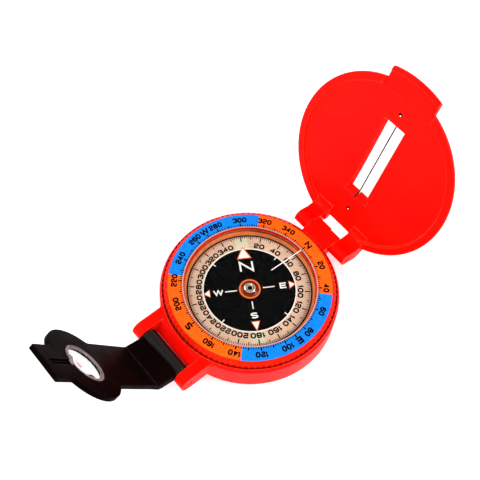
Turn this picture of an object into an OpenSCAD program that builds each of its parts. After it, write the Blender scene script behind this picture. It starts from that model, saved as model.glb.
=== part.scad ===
// Sighting compass with a folding lens arm, a turning scale ring and a hinged lid with a sighting wire.
// Frame: X along the hinge pins, +Y is the sighting direction from the lens arm to the lid, +Z up.
// The origin is the centre of the base's flat underside. All lengths are in millimetres.

/* [Case] */
// Outer radius of the round case
case_r = 26.8; // [26.6:0.1:27.4]
// Height of the ledge that surrounds the turning ring
case_h = 10.3; // [10.2:0.1:10.5]
// Height of the seam between the case body and the base cover
seam_z = 3.2; // [2.8:0.1:3.4]
// Wall thickness of the base cover's floor
floor_t = 1.2; // [1:0.1:1.4]

/* [Lens arm hinge] */
// Distance of the lens arm's pin from the centre, towards -Y
arm_y = 32; // [31.8:0.1:32.2]
// Height of the lens arm's pin
arm_z = 7.17; // [7.1:0.01:7.2]
// Half of the gap between the two fork arms
fork_in = 8.05; // [8:0.05:8.2]
// Half of the width over the two fork arms
fork_out = 11.5; // [11.2:0.1:12]

/* [Lid hinge] */
// Distance of the lid's pin from the centre, towards +Y
lid_y = 30.15; // [30:0.05:30.4]
// Height of the lid's pin
lid_z = 8.24; // [8.2:0.01:8.3]
// Half length of the lid's hinge
lid_hinge_half = 10.7; // [10.5:0.1:11]
// How far the lid stands open, measured up from the +Y direction
lid_open = 70; // [50:1:110]

/* [Lid] */
// Radius of the lid
lid_r = 27.9; // [27.8:0.1:28.2]
// Distance of the lid's centre from its hinge pin
lid_c = 28.1; // [27.9:0.1:28.2]
// Distance from the hinge pin to the plane of the lid's rim
rim_n = 5.14; // [5:0.02:5.2]
// Depth of the dished recess at the rim
recess_t = 0.8; // [0.7:0.05:0.9]
// Further depth of the dish at the lid's centre
dish_t = 0.8; // [0.4:0.1:1]
// Distance from the hinge pin to the outer face at the lid's edge
outer_n = 7.3; // [7.2:0.05:7.5]
// Half width of the sighting slot at the outer face
slot_half = 3.3; // [3.1:0.1:3.5]
// Radius of the outer end of the thumb tab about the lid's centre
tab_r = 31.1; // [31:0.1:31.5]

/* [Lens arm] */
// Angle of the lens plate's turn from the stowed position to the open position
arm_open = 121.1; // [115:0.1:125]
// Thickness of the lens plate
plate_t = 1.5; // [1.3:0.1:1.6]
// Distance from the bend to the lens centre
lens_s = 30.2; // [30:0.1:30.6]
// Radius of the round part of the lens plate
eye_r = 11.7; // [11.5:0.05:12.2]
// Distance from the bend to the end of the tab
arm_len = 47.6; // [46:0.1:47.8]
// Half width of the lens plate between the bend and the lens
neck_half = 7.5; // [6.8:0.1:7.6]

/* [Turning ring] */
// Outer radius of the ring over its knurling
ring_r = 25.75; // [25.6:0.05:25.8]
// Number of scallops in the knurling
scallops = 96; // [72:4:120]
// Height of the printed scale
scale_z = 11.95; // [11.9:0.01:12]
// Inner radius of the printed scale
scale_in = 20.15; // [20.1:0.01:20.2]
// Outer radius of the printed scale
scale_out = 24.4; // [24.3:0.05:24.5]
// Turn of the ring's north mark from the sighting direction, clockwise from above
ring_turn = 2.1; // [0:0.1:360]

/* [Card] */
// Radius of the compass card
card_r = 18.3; // [18:0.05:18.35]
// Height of the card's printed face
card_z = 8.87; // [8.8:0.01:8.9]
// Turn of the card's north mark from the sighting direction, clockwise from above
card_turn = -58.5; // [-180:0.5:180]

/* [Pins] */
// Radius of both hinge pins
pin_r = 0.8; // [0.7:0.05:0.9]

/* [Hidden] */
$fn = 96;
fine = 180;          // segments of the large circles
eps = 0.01;          // overlap of cutters
fixed_gap = 0.02;    // radial room round a pin that doesn't turn
run_gap = 0.05;      // radial room round a pin that turns
seat_r = 26.1;       // bore that the turning ring sits in
seat_z = 8.4;        // floor of that bore
skirt_in = 21.45;    // the turning ring's skirt
skirt_out = 22.6;
skirt_bottom = 6.6;
tower_r = 21.1;      // wall of the case between the skirt and the capsule
capsule_r = 20.3;    // outer radius of the capsule
capsule_z = 3.6;     // underside of the capsule
capsule_top = 10.9;
well_r = 18.75;      // radius of the space that the card turns in
cover_r = 19.9;      // radius of the capsule's clear cover
cover_z = 10.1;      // underside of that cover
wall_in = 24.9;      // inside of the base cover's lip
lip_r = 25.4;
lip_z = 4.8;
fork_z0 = 4.34;      // underside and top of the fork arms
fork_z1 = 10;
fork_end_r = fork_z1 - arm_z;
barrel_r = 2.45;
bend_y = -25.1;      // the bend of the lens arm when it is stowed
stow_z = 12.3;       // underside of the lens plate when it is stowed
link_t = 3.0;
lug_x0 = -5.3;       // the case's lug between the lid's knuckles
lug_x1 = 4.5;
lug_mid = 0.2;
window_half = 4.7;   // half width of the gap between the lid's two arms
knuckle_r = 2.26;
edge_r = 1.75;        // rounding of the lid's outer edge
floor_n = rim_n + recess_t;
slot_v0 = 16.6;      // ends of the sighting slot, from the hinge pin
slot_v1 = 43.4;
wire_r = 0.17;
wire_n = 7.75;       // distance of the sighting wire from the hinge pin's plane
wire_v0 = 10.0;      // the two holes that the wire's ends go through
wire_v1 = 47.2;
hole_r = 0.45;
anchor_n = floor_n + 0.35;  // inner face and thickness of the beads in those holes
anchor_t = 0.4;

red = [0.90, 0.13, 0.04];
orange = [1.0, 0.42, 0.05];
clear = [0.85, 0.9, 0.92, 0.35];
black = [0.06, 0.06, 0.06];
brass = [0.80, 0.62, 0.30];
steel = [0.75, 0.75, 0.77];
cream = [0.90, 0.80, 0.72];

// Points on an arc of radius r about c, from angle a to angle b
function arc(c, r, a, b, n = 8) =
    [for (i = [0:n]) c + r * [cos(a + (b - a) * i / n), sin(a + (b - a) * i / n)]];
// Corners of a square ring section between two radii and two heights
function band(r0, r1, z0, z1) = [[r0, z0], [r1, z0], [r1, z1], [r0, z1]];

module ring(r0, r1, z0, z1) { rotate_extrude($fn = fine) polygon(band(r0, r1, z0, z1)); }
module disc(r, z0, z1) { translate([0, 0, z0]) cylinder(r = r, h = z1 - z0, $fn = fine); }
module block(x0, x1, y0, y1, z0, z1) { translate([x0, y0, z0]) cube([x1 - x0, y1 - y0, z1 - z0]); }
// A rod along X
module rod_x(r, x0, x1, y, z) { translate([x0, y, z]) rotate([0, 90, 0]) cylinder(r = r, h = x1 - x0); }
// An outline in Y and Z, extruded along X
module bar_x(points, x0, x1) {
    translate([x0, 0, 0]) rotate([90, 0, 90]) linear_extrude(x1 - x0) polygon(points);
}
module at_ring() { rotate([0, 0, -ring_turn]) children(); }
module at_card() { rotate([0, 0, -card_turn]) children(); }
// Lid parts are drawn with the hinge pin along X at the origin, +Y up the lid and +Z out of its inner face
module at_lid() { translate([0, lid_y, lid_z]) rotate([lid_open, 0, 0]) children(); }
// Lens arm parts are drawn stowed over the ring and turned open about their pin
module at_arm() {
    translate([0, -arm_y, arm_z]) rotate([arm_open, 0, 0]) translate([0, arm_y, -arm_z]) children();
}

// Case -------------------------------------------------------------------

// Outline of the round shell, with a rounded shoulder
function shell_outline() = concat(
    [[tower_r, lip_z], [lip_r + 0.05, lip_z], [lip_r + 0.05, seam_z], [case_r, seam_z]],
    arc([case_r - 1.0, case_h - 1.6], 1.0, 0, 50, 6),
    [[seat_r + 0.1, case_h], [seat_r, case_h - 0.1], [seat_r, seat_z], [tower_r, seat_z]]);

// Side view of one fork arm, with a round end about the pin
function fork_outline() = concat(
    [[-21, fork_z0], [-21, fork_z1]],
    arc([-arm_y, arm_z], fork_end_r, 90, 270, 12));

// Side view of the sloped wall between the fork arms, which the stowed lens arm lies along
function apron_outline() =
    [[-21.5, seam_z], [-29.3, seam_z], [-29.3, 7.35], [-27.0, 9.65], [-26.2, 9.95], [-21.5, 9.95]];

// Side view of the lug that carries the lid's pin, as far out as y
function lug_outline(y) = concat(
    [[22.5, case_h - 0.2], [22.5, 5.0], [lid_y - 1.2, lid_z - knuckle_r + 0.1]],
    arc([y - 1.2, lid_z - 0.9], 1.2, -90, 0, 6),
    arc([y - 0.5, case_h - 0.7], 0.5, 0, 90, 4));

// Blends of radius f where a round plate of radius r about the origin meets the outsides of two arms
// that leave it towards -Y, at x on either side
module root_fillets(r, x, f) {
    cx = x + f;
    cy = -sqrt(pow(r + f, 2) - cx * cx);
    for (s = [-1, 1]) polygon([for (p = concat(
        [[x - 1, cy], [x - 1, cy + 3], [cx, cy] * (r - 1.5) / (r + f)],
        arc([cx, cy], f, atan2(-cy, -cx), 180, 10))) [s * p[0], p[1]]]);
}

module case_body() {
    color(red) difference() {
        union() {
            rotate_extrude($fn = fine) polygon(shell_outline());
            for (s = [-1, 1]) bar_x(fork_outline(), s > 0 ? fork_in : -fork_out, s > 0 ? fork_out : -fork_in);
            bar_x(apron_outline(), -fork_in - eps, fork_in + eps);
            translate([0, 0, fork_z0]) linear_extrude(9 - fork_z0) root_fillets(case_r, fork_out, 3);
            bar_x(lug_outline(lid_y + 3.25), lug_x0, lug_mid);
            bar_x(lug_outline(lid_y + 2.85), lug_mid - eps, lug_x1);
        }
        // seat of the turning ring, the ring's skirt and the capsule
        disc(seat_r, seat_z, 20);
        ring(tower_r, skirt_out + 0.3, skirt_bottom - 0.4, seat_z + eps);
        ring(skirt_out + 0.2, skirt_out + 0.65, 7.2, 7.8);
        ring(23.75, 24.65, seat_z - 0.7, seat_z + eps);
        disc(capsule_r + 0.05, -1, 20);
        // inside of the shell, above the base cover's lip
        ring(tower_r, lip_r + 0.05, 0, lip_z);
        rod_x(pin_r + fixed_gap, -fork_out + 0.9, fork_out + 1, -arm_y, arm_z);
        rod_x(pin_r + fixed_gap, lug_x0 - 1, lug_x1 + 1, lid_y, lid_z);
    }
}

module base_cover() {
    color(red) difference() {
        rotate_extrude($fn = fine) polygon(concat(
            [[0, 0]], arc([case_r - 0.9, 0.9], 0.9, -90, 0, 6),
            [[case_r, seam_z - 0.05], [lip_r, seam_z - 0.05], [lip_r, lip_z - 0.05], [wall_in, lip_z - 0.05],
             [wall_in, floor_t], [0, floor_t]]));
        // room for the sloped wall between the fork arms
        block(-fork_in - 0.1, fork_in + 0.1, -30, -21.4, seam_z - 0.05, lip_z + 1);
    }
    // posts that press the capsule up into the case
    color(red) for (a = [45:90:315]) rotate([0, 0, a]) translate([16, 0, floor_t - eps])
        cylinder(r = 1.6, h = capsule_z - floor_t - 0.02 + eps);
}

module arm_hinge_pin() { color(steel) rod_x(pin_r, -fork_out + 1, fork_out - 0.3, -arm_y, arm_z); }
module lid_hinge_pin() {
    color(steel) rod_x(pin_r, -lid_hinge_half + 0.6, lid_hinge_half - 0.1, lid_y, lid_z);
}

// Capsule ----------------------------------------------------------------

module capsule_cup() {
    color(orange) difference() {
        rotate_extrude($fn = fine) polygon([
            [0, capsule_z], [capsule_r, capsule_z], [capsule_r, capsule_top], [cover_r + 0.05, capsule_top],
            [cover_r + 0.05, cover_z], [19.3, cover_z], [well_r, card_z - 0.1], [well_r, 4.6], [0, 4.6]]);
        ring(19.45, 19.8, cover_z - 0.25, cover_z + eps);
        translate([0, 0, capsule_z - 1]) cylinder(r = 1.6 + fixed_gap, h = 4);
        translate([11, -9, capsule_z - 1]) cylinder(r = 1.1 + fixed_gap, h = 4);
    }
}
module capsule_cover() { color(clear) disc(cover_r, cover_z, cover_z + 0.6); }
module capsule_seal() { color([0.9, 0.45, 0.2]) ring(19.48, 19.77, cover_z - 0.24, cover_z); }
module fill_plug() {
    color(black) translate([11, -9, capsule_z]) cylinder(r = 1.1, h = 1.0);
}
module pivot_bush() {
    color(brass) difference() {
        translate([0, 0, capsule_z]) cylinder(r = 1.6, h = 1.9);
        translate([0, 0, capsule_z + 0.4]) cylinder(r = 0.35 + fixed_gap, h = 4);
    }
}
module pivot_needle() {
    color(steel) rotate_extrude()
        polygon([[0, capsule_z + 0.4], [0.35, capsule_z + 0.4], [0.35, 8.2], [0, 9.2]]);
}

// Turning ring -----------------------------------------------------------

module ring_friction_band() {
    color(black) rotate_extrude($fn = fine) translate([24.2, seat_z - 0.24]) circle(r = 0.28, $fn = 24);
}
// Split spring wire that holds the ring's skirt down
module ring_retainer() {
    color(steel) rotate([0, 0, 100]) rotate_extrude(angle = 345, $fn = fine)
        polygon(band(22.35, skirt_out + 0.6, 7.3, 7.7));
}
module turning_ring() {
    color(clear) at_ring() difference() {
        rotate_extrude($fn = fine) polygon([
            [skirt_in, skirt_bottom], [skirt_out, skirt_bottom], [skirt_out, 7.05], [22.15, 7.05],
            [22.15, 7.95],
            [skirt_out, 7.95], [skirt_out, seat_z + 0.1], [ring_r, seat_z + 0.1], [ring_r, 11.05],
            [scale_out + 0.02, scale_z + 0.03], [scale_out + 0.02, 11.6], [scale_in + 0.02, 11.6],
            [scale_in + 0.02, 11.3], [19.5, 11.3], [19.5, 11.05], [skirt_in, 11.05]]);
        for (i = [0:scallops - 1]) rotate([0, 0, i * 360 / scallops]) translate([ring_r + 0.42, 0, 5])
            cylinder(r = 0.62, h = 10, $fn = 16);
    }
}
module scale_ring() { color(orange) at_ring() ring(scale_in + 0.03, scale_out, 11.6, scale_z); }
module ring_window() {
    color(clear) at_ring() difference() {
        disc(scale_in, 11.3, scale_z);
        block(-0.24, 0.24, 7.98, 19.6, scale_z - 0.2, scale_z + 1);
    }
}
module index_line() { color("white") at_ring() block(-0.22, 0.22, 8, 19.58, scale_z - 0.2, scale_z); }

// Card -------------------------------------------------------------------

module compass_card() {
    color(cream) at_card() difference() {
        disc(card_r, card_z - 0.5, card_z);
        disc(1.8, 0, 20);
    }
}
// A luminous patch from the black disc out to the card's edge
module patch(middle) {
    color([0.95, 0.97, 0.88]) at_card() rotate([0, 0, -middle])
        block(-1.95, 1.95, 14, 17.9, card_z, card_z + 0.04);
}
module north_patch() { patch(0); }
module south_patch() { patch(180); }
module bar_magnet() {
    color(steel) at_card() difference() {
        block(-2.6, 2.6, -13, 13, 6.9, card_z - 0.5);
        disc(1.8, 0, 20);
    }
}
module card_hub() {
    color(orange) rotate_extrude() polygon([
        [1.8, card_z], [3.2, card_z], [3.2, card_z + 0.25], [2.6, card_z + 0.5], [1.8, card_z + 0.8]]);
}
module jewel_cup() {
    color(brass) difference() {
        translate([0, 0, 7.2]) cylinder(r = 1.78, h = 2.7);
        translate([0, 0, 7]) cylinder(r1 = 1.3, r2 = 0.7, h = 2.25);
        translate([0, 0, 8]) cylinder(r = 0.7, h = 4);
    }
}
module pivot_jewel() {
    color([0.25, 0.05, 0.05]) difference() {
        translate([0, 0, 9.1]) cylinder(r = 0.68, h = 0.75);
        translate([0, 0, 9]) cylinder(r1 = 0.4, r2 = 0, h = 0.35, $fn = 24);
    }
}

// Lid --------------------------------------------------------------------

// Height of a dish of depth t and radius r, at distance x from its middle
function dish(t, r, x) = t * (1 - x * x / (r * r));
// Outline of the lid's disc: dished outer face, rounded edge, rim and dished recess
function lid_outline() = concat(
    [for (x = [0:3.2:25.6]) [x, -outer_n - dish(dish_t + 0.5, lid_r - edge_r, x)]],
    arc([lid_r - edge_r, -outer_n + edge_r], edge_r, -88, 0, 10),
    arc([lid_r - 0.35, -rim_n - 0.35], 0.35, 0, 90, 5),
    [[lid_r - 2.35, -rim_n], [lid_r - 2.5, -rim_n - 0.15]],
    [for (x = [25.2:-3.15:0]) [x, -floor_n - dish(dish_t, 25.2, x)]]);

// Side view of one of the lid's two arms
function lid_arm_outline() = concat(
    arc([0, 0], knuckle_r, 0, 200, 14),
    [[-2.1, -3.6], [-1.7, -5.2], [-0.5, -outer_n + 0.8], [1.6, -outer_n - 0.1], [6.5, -outer_n - 0.2],
     [6.5, -floor_n], [5.0, -floor_n + 0.2], [3.9, -rim_n - 0.1], [3.2, -4.2], [2.45, -2]]);

module lid() {
    color(red) at_lid() difference() {
        union() {
            difference() {
                translate([0, lid_c, 0]) rotate_extrude($fn = fine) polygon(lid_outline());
                // the rim is left out at the thumb tab, where the lens arm passes
                block(-9.4, 9.4, lid_c + 20, lid_c + 40, -floor_n - 0.05, 0);
                // straight edge between the two arms
                block(-window_half, window_half, -5, 3.2, -20, 0);
            }
            // thumb tab, an arc about the lid's centre with a raised lip
            intersection() {
                translate([0, lid_c, 0]) rotate_extrude($fn = fine) polygon(concat(
                    [[24, -outer_n - 0.2], [26.5, -outer_n]],
                    arc([tab_r - 0.6, -outer_n + 0.6], 0.6, -90, 0, 5),
                    arc([tab_r - 0.5, -floor_n - 0.3], 0.5, 0, 90, 5),
                    [[tab_r - 1.2, -floor_n + 0.2], [tab_r - 1.6, -floor_n - 0.05], [24, -floor_n - 0.05]]));
                block(-8.75, 8.75, lid_c + 20, lid_c + 40, -20, 20);
            }
            for (s = [-1, 1]) {
                x0 = s > 0 ? window_half : -lid_hinge_half;
                x1 = s > 0 ? lid_hinge_half : lug_x0 - 0.2;
                bar_x(lid_arm_outline(), x0, x1);
            }
            translate([0, lid_c, -rim_n - 1.7]) linear_extrude(1.6) root_fillets(lid_r, lid_hinge_half, 1.5);
            // the left arm's root is as wide as the gap's edge
            bar_x([[3.2, -outer_n - 0.1], [6.5, -outer_n - 0.2], [6.5, -floor_n], [5.0, -floor_n + 0.2],
                   [3.9, -rim_n - 0.1], [3.2, -rim_n - 0.2]], lug_x0 - 0.3, -window_half);
        }
        rod_x(pin_r + run_gap, -lid_hinge_half + 0.5, lid_hinge_half + 1, 0, 0);
        // sighting slot, wider towards the inner face, with a long slope at its lower end
        block(-slot_half, slot_half, slot_v0, slot_v1, -20, 0);
        translate([0, slot_v1, 0]) rotate([90, 0, 0]) linear_extrude(slot_v1 - slot_v0) polygon([
            [-slot_half, -outer_n - 0.5], [slot_half, -outer_n - 0.5],
            [slot_half + 0.7, -floor_n], [-slot_half - 0.7, -floor_n]]);
        bar_x([[slot_v0 + eps, -outer_n - 0.8], [slot_v0 - 2.3, -floor_n - 0.2], [slot_v0 - 2.3, -4],
               [slot_v0 + eps, -4]], -slot_half - 1.2, slot_half + 1.2);
        // groove and holes of the sighting wire
        block(-0.3, 0.3, wire_v0, wire_v1, -20, -wire_n + wire_r + 0.05);
        for (v = [wire_v0, wire_v1]) translate([0, v, -20]) cylinder(r = hole_r, h = 20);
    }
}
module sight_wire() {
    color(black) at_lid() {
        translate([0, wire_v0, -wire_n]) rotate([-90, 0, 0])
            cylinder(r = wire_r, h = wire_v1 - wire_v0, $fn = 16);
        for (v = [wire_v0, wire_v1]) translate([0, v, -wire_n - wire_r])
            cylinder(r = wire_r, h = wire_n + wire_r - anchor_n - anchor_t, $fn = 16);
    }
}
// Crimped beads in the two holes, which hold the wire's ends
module wire_anchors() {
    color(brass) at_lid() for (v = [wire_v0, wire_v1]) translate([0, v, -anchor_n - anchor_t])
        cylinder(r = hole_r - 0.03, h = anchor_t, $fn = 32);
}

// Lens arm ---------------------------------------------------------------

lens_y = bend_y + lens_s;
neck_fillet = 2.5;
tab_half = 5.5;
fillet_back = sqrt(pow(eye_r + neck_fillet, 2) - pow(neck_half + neck_fillet, 2));
fillet_end = atan2(fillet_back, -neck_half - neck_fillet);
aperture_r = 5.6;

// The bent link from the pin to the lens plate, in side view
link_n = link_t * sqrt(2);
function link_outline() = [
    [bend_y, stow_z], [bend_y + 1.2, stow_z], [bend_y + 1.2, stow_z + plate_t],
    [bend_y - link_n + plate_t + 0.5, stow_z + plate_t],
    [bend_y - link_n + plate_t - 0.6, stow_z + plate_t - 0.5],
    [-arm_y - 1.4, arm_z + 1.2], [-arm_y - 1.4, arm_z - 0.6], [-arm_y + 0.4, arm_z - 1.6]];

module lens_arm() {
    color(black) at_arm() difference() {
        union() {
            rod_x(barrel_r, -fork_in + 0.3, fork_in - 0.3, -arm_y, arm_z);
            bar_x(link_outline(), -neck_half - 0.2, neck_half + 0.2);
            translate([0, 0, stow_z]) linear_extrude(plate_t) union() {
                translate([-neck_half, bend_y]) square([2 * neck_half, lens_s]);
                translate([0, lens_y]) circle(r = eye_r, $fn = fine);
                translate([-tab_half, lens_y]) square([2 * tab_half, arm_len - lens_s]);
                // fillets between the neck and the round part
                for (s = [-1, 1]) polygon([for (p = concat(
                    arc([neck_half + neck_fillet, lens_y - fillet_back], neck_fillet, 180, fillet_end, 8),
                    [[neck_half - 1, lens_y - 4]])) [s * p[0], p[1]]]);
            }
        }
        rod_x(pin_r + run_gap, -20, 20, -arm_y, arm_z);
        translate([0, lens_y, stow_z - 1]) cylinder(r = aperture_r, h = 5);
        translate([0, lens_y, stow_z - 1]) cylinder(r = 6.2, h = 1.45);
        // sighting groove, from the lens to near the end of the tab
        block(-1, 1, bend_y + 36, bend_y + 45.9, stow_z - 1, stow_z + 1.05);
    }
}
module lens() {
    // both faces are shallow domes
    sag = 0.55;
    dome_r = (pow(aperture_r - 0.02, 2) + sag * sag) / (2 * sag);
    mid = stow_z + 0.95;
    color(clear) at_arm() translate([0, lens_y, 0]) rotate_extrude($fn = fine) polygon(concat(
        arc([0, mid + 0.25 + sag - dome_r], dome_r, 90 - asin((aperture_r - 0.02) / dome_r), 90, 10),
        arc([0, mid + 0.1 - sag + dome_r], dome_r, 270, 270 + asin((aperture_r - 0.02) / dome_r), 10)));
}
module lens_retainer() {
    color(black) at_arm() translate([0, lens_y, 0]) ring(5.15, 6.18, stow_z, stow_z + 0.44);
}

case_body();
base_cover();
arm_hinge_pin();
lid_hinge_pin();
capsule_cup();
capsule_cover();
capsule_seal();
fill_plug();
pivot_bush();
pivot_needle();
ring_friction_band();
ring_retainer();
turning_ring();
scale_ring();
ring_window();
index_line();
compass_card();
north_patch();
south_patch();
bar_magnet();
card_hub();
jewel_cup();
pivot_jewel();
lid();
sight_wire();
wire_anchors();
lens_arm();
lens();
lens_retainer();
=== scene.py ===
import math

import bmesh
import bpy
from mathutils import Matrix, Vector


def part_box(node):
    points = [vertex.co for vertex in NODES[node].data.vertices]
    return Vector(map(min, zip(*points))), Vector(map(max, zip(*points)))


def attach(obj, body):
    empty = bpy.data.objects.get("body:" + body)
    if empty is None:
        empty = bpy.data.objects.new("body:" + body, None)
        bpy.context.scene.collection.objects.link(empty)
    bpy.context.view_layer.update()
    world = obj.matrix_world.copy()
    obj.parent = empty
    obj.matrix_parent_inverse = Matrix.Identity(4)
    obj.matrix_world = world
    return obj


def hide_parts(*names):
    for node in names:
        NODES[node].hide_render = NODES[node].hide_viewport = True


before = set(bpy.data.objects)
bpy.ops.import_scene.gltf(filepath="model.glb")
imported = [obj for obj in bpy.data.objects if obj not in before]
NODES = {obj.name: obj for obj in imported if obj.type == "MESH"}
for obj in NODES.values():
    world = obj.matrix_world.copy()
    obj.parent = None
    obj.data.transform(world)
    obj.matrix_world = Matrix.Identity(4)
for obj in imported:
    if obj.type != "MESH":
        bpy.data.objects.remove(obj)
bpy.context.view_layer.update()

MM = 0.001

# Places that repeat the CAD model's, in millimetres and degrees
LID_PIN = (30.15, 8.24)  # y and z
ARM_PIN = (-32.0, 7.17)
PIN_R = 0.8
LID_OPEN = 70.0
ARM_OPEN = 121.1
RING_TURN = 2.1
CARD_TURN = -58.5
SCALE_Z = 11.95  # printed top of the scale
CARD_Z = 8.87  # printed top of the card


# ---------------------------------------------------------------- mesh helpers

def vec_mul(points, matrix):
    """Points in millimetres, taken through a matrix in millimetres, in metres."""
    return [tuple((matrix @ Vector(p)) * MM) for p in points]


def rot_x(angle, y, z):
    """A turn about the line along X through y, z."""
    return Matrix.Translation((0, y, z)) @ Matrix.Rotation(math.radians(angle), 4, "X")


AT_LID = rot_x(LID_OPEN, *LID_PIN)
AT_ARM = rot_x(ARM_OPEN, *ARM_PIN) @ Matrix.Translation((0, -ARM_PIN[0], -ARM_PIN[1]))
AT_RING = Matrix.Rotation(math.radians(-RING_TURN), 4, "Z")
AT_CARD = Matrix.Rotation(math.radians(-CARD_TURN), 4, "Z")
STILL = Matrix.Identity(4)


def shade(mesh, angle=32):
    """Smooth shading, with edges sharper than angle kept sharp."""
    mesh.shade_smooth()
    mesh.set_sharp_from_angle(angle=math.radians(angle))


def add(name, points, faces, material, body, matrix=STILL, replaces=(), angle=32, tidy=True):
    """A new piece from points in millimetres, riding on a CAD body. tidy joins points that meet."""
    mesh = bpy.data.meshes.new(name)
    mesh.from_pydata(vec_mul(points, matrix), [], faces)
    if tidy:
        b = bmesh.new()
        b.from_mesh(mesh)
        bmesh.ops.remove_doubles(b, verts=b.verts, dist=2e-7)
        bmesh.ops.recalc_face_normals(b, faces=b.faces)
        b.to_mesh(mesh)
        b.free()
    shade(mesh, angle)
    return place(name, mesh, material, body, replaces)


def place(name, mesh, material, body, replaces=()):
    """A mesh in metres as a piece of the frame."""
    obj = bpy.data.objects.new(name, mesh)
    bpy.context.scene.collection.objects.link(obj)
    mesh.materials.clear()
    mesh.materials.append(material)
    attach(obj, body)
    if replaces:
        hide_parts(*replaces)
    return obj


def lathe(outline, steps=144, radius=None):
    """Points and faces of a closed outline in r and z, turned about Z. radius(r, z, angle) may change r."""
    n = len(outline)
    points, faces = [], []
    for i in range(steps):
        a = 2 * math.pi * i / steps
        for r, z in outline:
            q = radius(r, z, a) if radius else r
            points.append((q * math.cos(a), q * math.sin(a), z))
    for i in range(steps):
        j = (i + 1) % steps
        for k in range(n):
            m = (k + 1) % n
            if outline[k][0] < 1e-9 and outline[m][0] < 1e-9:
                continue
            faces.append((i * n + k, j * n + k, j * n + m, i * n + m))
    return points, faces


def arc(cx, cy, r, a, b, n=6, tall=1.0):
    """Points round a circle from angle a to b in degrees; tall stretches it upward."""
    return [(cx + r * math.cos(math.radians(a + (b - a) * i / n)),
             cy + r * tall * math.sin(math.radians(a + (b - a) * i / n))) for i in range(n + 1)]


def slab(loops, low, high, edge, steps=3):
    """A plate with holes and rounded edges, from loops of points, between two heights in millimetres."""
    curve = bpy.data.curves.new("slab", "CURVE")
    curve.dimensions = "2D"
    curve.fill_mode = "BOTH"
    curve.extrude = (high - low) / 2 - edge
    curve.bevel_depth = edge
    curve.bevel_resolution = steps
    curve.offset = -edge
    for loop in loops:
        s = curve.splines.new("POLY")
        s.points.add(len(loop) - 1)
        for p, (x, y) in zip(s.points, loop):
            p.co = (x, y, 0, 1)
        s.use_cyclic_u = True
    obj = bpy.data.objects.new("slab", curve)
    bpy.context.scene.collection.objects.link(obj)
    bpy.context.view_layer.update()
    dg = bpy.context.evaluated_depsgraph_get()
    mesh = bpy.data.meshes.new_from_object(obj.evaluated_get(dg))
    mesh.transform(Matrix.Translation((0, 0, (low + high) / 2)))
    bpy.data.objects.remove(obj)
    bpy.data.curves.remove(curve)
    return mesh


def carve(mesh, cutters):
    """The mesh with the cutters' volumes taken out."""
    objects = []
    for m in (mesh, *cutters):
        o = bpy.data.objects.new("carve", m)
        bpy.context.scene.collection.objects.link(o)
        objects.append(o)
    for o in objects[1:]:
        cut = objects[0].modifiers.new("cut", "BOOLEAN")
        cut.operation, cut.solver, cut.object = "DIFFERENCE", "EXACT", o
    bpy.context.view_layer.update()
    dg = bpy.context.evaluated_depsgraph_get()
    out = bpy.data.meshes.new_from_object(objects[0].evaluated_get(dg))
    for o in objects:
        bpy.data.objects.remove(o)
    return out


def joined(name, parts, material, body, matrix=STILL, replaces=(), angle=32):
    """One piece from several meshes in millimetres, each with its own matrix."""
    points, faces = [], []
    for mesh, m in parts:
        base = len(points)
        points += [tuple(m @ v.co) for v in mesh.vertices]
        faces += [tuple(base + i for i in p.vertices) for p in mesh.polygons]
    return add(name, points, faces, material, body, matrix, replaces, angle)


def raw_mesh(points, faces):
    mesh = bpy.data.meshes.new("raw")
    mesh.from_pydata(points, [], faces)
    return mesh


# A side view in y and z, drawn flat, becomes a bar along X
SIDE = Matrix(((0, 0, 1, 0), (1, 0, 0, 0), (0, 1, 0, 0), (0, 0, 0, 1)))
# A lathe's Z axis becomes X
ALONG_X = Matrix.Rotation(math.radians(90), 4, "Y")


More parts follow.
